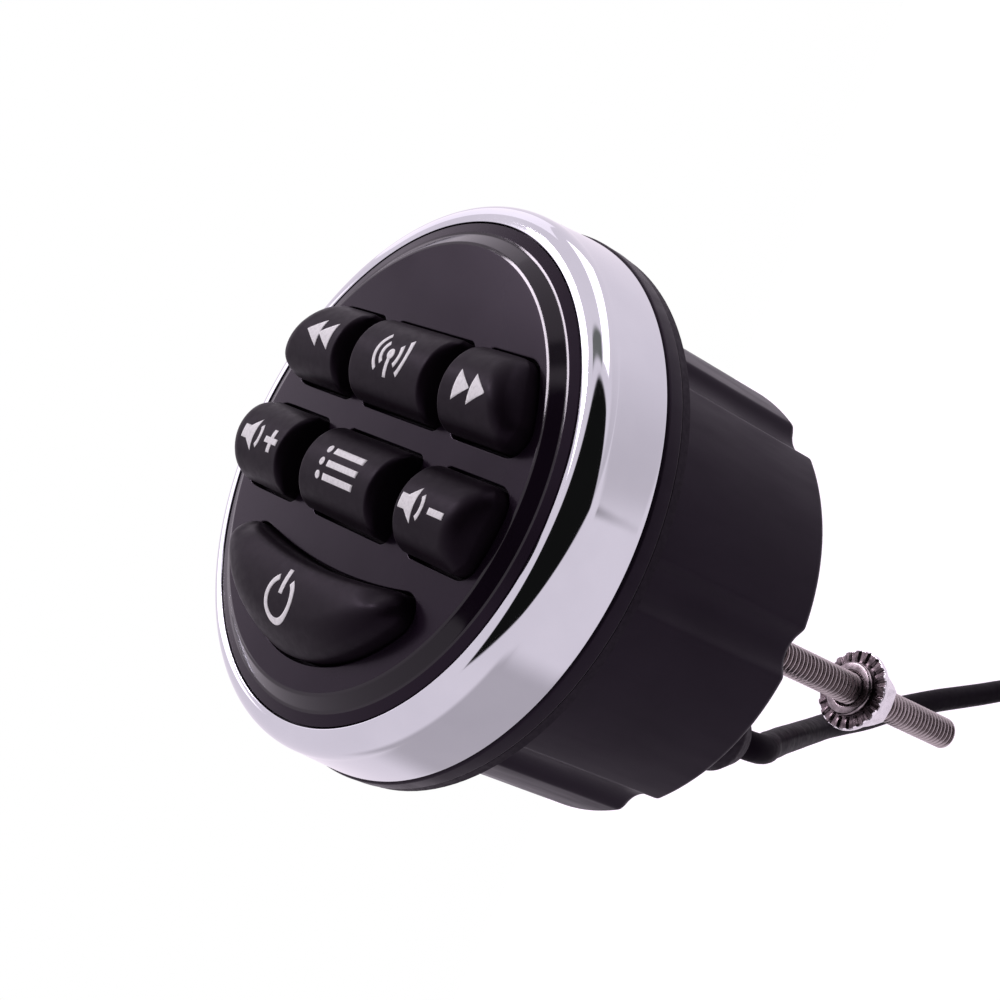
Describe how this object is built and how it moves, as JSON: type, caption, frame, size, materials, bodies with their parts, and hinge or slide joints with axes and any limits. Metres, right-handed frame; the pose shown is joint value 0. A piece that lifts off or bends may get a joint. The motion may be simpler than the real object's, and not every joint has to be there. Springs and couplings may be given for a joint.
{
  "type": "marine stereo control head",
  "caption": "Round gauge-style control head of a marine stereo, with bright bezel, rubber keys, grooved barrel, threaded clamp stud with captive-washer nut, and a plugged cable.",
  "frame": {"origin": "on the centre line at the panel seat, the back face of the rim gasket", "axes": "+Z along the centre line out of the face, +X to the right of the face, +Y to the top of the face"},
  "size_m": [0.0639, 0.0659, 0.2369],
  "materials": {
    "housing_black": "fine texture",
    "face_black": "fine texture",
    "key_rubber": "matte",
    "rubber_black": "matte",
    "cable_black": "satin",
    "bright_plate": "bright",
    "plain_steel": "satin",
    "gold_contact": "satin",
    "board_green": "gloss",
    "chip_black": "matte",
    "socket_white": "matte",
    "lead_red": "satin",
    "legend_white": "satin",
    "tie_grey": "matte"
  },
  "bodies": {
    "head": {"housing": "housing_black", "rim_gasket": "rubber_black", "bezel_ring": "bright_plate", "face_panel": "face_black", "face_seal": "rubber_black", "keypad_mat": "rubber_black", "circuit_board": "board_green", "contact_pads": "gold_contact", "controller_chip": "chip_black", "board_parts": "chip_black", "board_screws": "plain_steel", "board_socket": "socket_white", "lead_plug": "socket_white", "inner_leads": "lead_red", "stud_insert": "gold_contact", "mounting_stud": "plain_steel", "cable_gland": "rubber_black", "cable_tail": "cable_black", "cable_lead": "cable_black", "cable_coil": "cable_black", "coil_tie": "tie_grey", "plug_boot": "cable_black", "plug_body": "cable_black", "plug_pin": "plain_steel", "plug_bands": "chip_black"},
    "key_previous": {"key_previous": "key_rubber", "pill_previous": "chip_black"},
    "key_band": {"key_band": "key_rubber", "pill_band": "chip_black"},
    "key_next": {"key_next": "key_rubber", "pill_next": "chip_black"},
    "key_volume_up": {"key_volume_up": "key_rubber", "pill_volume_up": "chip_black"},
    "key_mode": {"key_mode": "key_rubber", "pill_mode": "chip_black"},
    "key_volume_down": {"key_volume_down": "key_rubber", "pill_volume_down": "chip_black"},
    "key_power": {"key_power": "key_rubber", "pill_power": "chip_black"},
    "washer": {"lock_washer": "plain_steel"},
    "nut": {"clamp_nut": "plain_steel"}
  },
  "joints": [
    {"name": "previous_press", "type": "slide", "parent": "head", "child": "key_previous", "axis": [0, 0, -1], "range_m": [0, 0.0009], "stiffness_N_per_m": 1000},
    {"name": "band_press", "type": "slide", "parent": "head", "child": "key_band", "axis": [0, 0, -1], "range_m": [0, 0.0009], "stiffness_N_per_m": 1000},
    {"name": "next_press", "type": "slide", "parent": "head", "child": "key_next", "axis": [0, 0, -1], "range_m": [0, 0.0009], "stiffness_N_per_m": 1000},
    {"name": "volume_up_press", "type": "slide", "parent": "head", "child": "key_volume_up", "axis": [0, 0, -1], "range_m": [0, 0.0009], "stiffness_N_per_m": 1000},
    {"name": "mode_press", "type": "slide", "parent": "head", "child": "key_mode", "axis": [0, 0, -1], "range_m": [0, 0.0009], "stiffness_N_per_m": 1000},
    {"name": "volume_down_press", "type": "slide", "parent": "head", "child": "key_volume_down", "axis": [0, 0, -1], "range_m": [0, 0.0009], "stiffness_N_per_m": 1000},
    {"name": "power_press", "type": "slide", "parent": "head", "child": "key_power", "axis": [0, 0, -1], "range_m": [0, 0.0009], "stiffness_N_per_m": 1000},
    {"name": "washer_travel", "type": "slide", "parent": "head", "child": "washer", "axis": [0, 0, 1], "range_m": [-0.015, 0.036]},
    {"name": "nut_turn", "type": "hinge", "parent": "washer", "child": "nut", "pos_m": [0, 0, -0.067], "axis": [0, 0, 1], "range_deg": [-7715, 18515]}
  ],
  "couplings": [
    {"joint": "nut_turn", "follows": "washer_travel", "rad_per_m": 8976}
  ]
}
